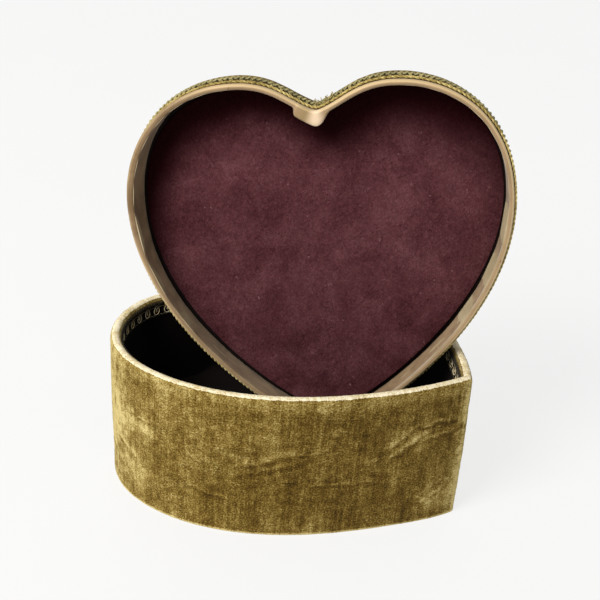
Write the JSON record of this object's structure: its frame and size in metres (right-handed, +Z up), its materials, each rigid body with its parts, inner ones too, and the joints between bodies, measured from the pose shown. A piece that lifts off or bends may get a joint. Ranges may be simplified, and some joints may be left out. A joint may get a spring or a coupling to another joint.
{
  "type": "wind-up music box",
  "caption": "Heart-shaped wind-up music box in crushed gold velvet with gimp braid trim; its padded cap lid stands open inside the box, and the movement is wound from below.",
  "frame": {"origin": "the middle of the heart's length on the underside that the box stands on", "axes": "+Z up out of the open box, -Y towards the heart's tip, X across the heart"},
  "size_m": [0.2, 0.2014, 0.2494],
  "materials": {
    "velvet": "crushed cotton velvet, olive gold",
    "cardboard": "greyboard",
    "lining_paper": "dark wine lining paper",
    "kraft_paper": "plain pasted paper",
    "satin": "tan satin binding",
    "gimp": "gimp braid",
    "leatherette": "burgundy leatherette paper",
    "wadding": "cotton wadding",
    "steel": "plain steel",
    "brass": "brass",
    "nickel_plate": "nickel plated"
  },
  "bodies": {
    "box": {"wall_velvet": "velvet", "velvet_hem": "velvet", "wall_card": "cardboard", "wall_lining": "lining_paper", "inner_gimp": "gimp", "underside_paper": "kraft_paper", "base_board": "cardboard", "key_well": "kraft_paper", "base_spacer": "cardboard", "carrier_board": "cardboard", "floor_ledge": "cardboard", "false_floor": "cardboard", "floor_paper": "lining_paper", "bedplate": "nickel_plate", "mounting_screw_1": "steel", "mounting_screw_2": "steel", "mounting_screw_3": "steel", "spring_housing": "brass", "housing_cap": "brass", "mainspring": "steel", "bearing_left": "nickel_plate", "bearing_right": "nickel_plate", "comb": "steel", "comb_block": "nickel_plate", "comb_screw_1": "steel", "comb_screw_2": "steel", "governor_bracket": "nickel_plate"},
    "lid": {"lid_satin": "satin", "lid_wall_card": "cardboard", "lid_board": "cardboard", "lid_panel": "leatherette", "lid_wadding": "wadding", "lid_velvet": "velvet", "lid_gimp": "gimp"},
    "winder": {"winding_arbor": "steel", "winding_key": "nickel_plate", "arbor_nut": "steel"},
    "great_wheel": {"great_wheel": "brass"},
    "cylinder": {"cylinder_arbor": "steel", "cylinder": "brass", "cylinder_wheel": "brass"},
    "governor": {"governor_arbor": "steel", "worm_wheel": "brass"},
    "fan": {"worm_shaft": "steel", "fan": "brass"},
    "stop_lever": {"stop_arm": "steel", "stop_tab": "steel"}
  },
  "joints": [
    {"name": "lid_lift", "type": "slide", "parent": "box", "child": "lid", "axis": [0.0069, 0.1345, 0.9909], "range_m": [0, 0.1]},
    {"name": "key_wind", "type": "hinge", "parent": "box", "child": "winder", "pos_m": [-0.016, 0.0195, 0.005], "axis": [0, 0, 1], "range_deg": [0, 1080]},
    {"name": "cylinder_spin", "type": "hinge", "parent": "box", "child": "cylinder", "pos_m": [0.008, 0.0195, 0.0221], "axis": [1, 0, 0], "continuous": true},
    {"name": "great_wheel_turn", "type": "hinge", "parent": "box", "child": "great_wheel", "pos_m": [-0.016, 0.0195, 0.0257], "axis": [0, 0, 1], "continuous": true},
    {"name": "governor_turn", "type": "hinge", "parent": "box", "child": "governor", "pos_m": [0.02197, 0.02742, 0.0221], "axis": [1, 0, 0], "continuous": true},
    {"name": "fan_turn", "type": "hinge", "parent": "box", "child": "fan", "pos_m": [0.02197, 0.03242, 0.0221], "axis": [0, 0, 1], "continuous": true},
    {"name": "stop_lever_turn", "type": "hinge", "parent": "box", "child": "stop_lever", "pos_m": [-0.0005, 0.0305, 0.0185], "axis": [0, 0, 1], "range_deg": [0, 12]}
  ],
  "couplings": [
    {"joint": "great_wheel_turn", "follows": "cylinder_spin", "ratio": -0.25},
    {"joint": "governor_turn", "follows": "cylinder_spin", "ratio": -4.5},
    {"joint": "fan_turn", "follows": "cylinder_spin", "ratio": 54}
  ]
}
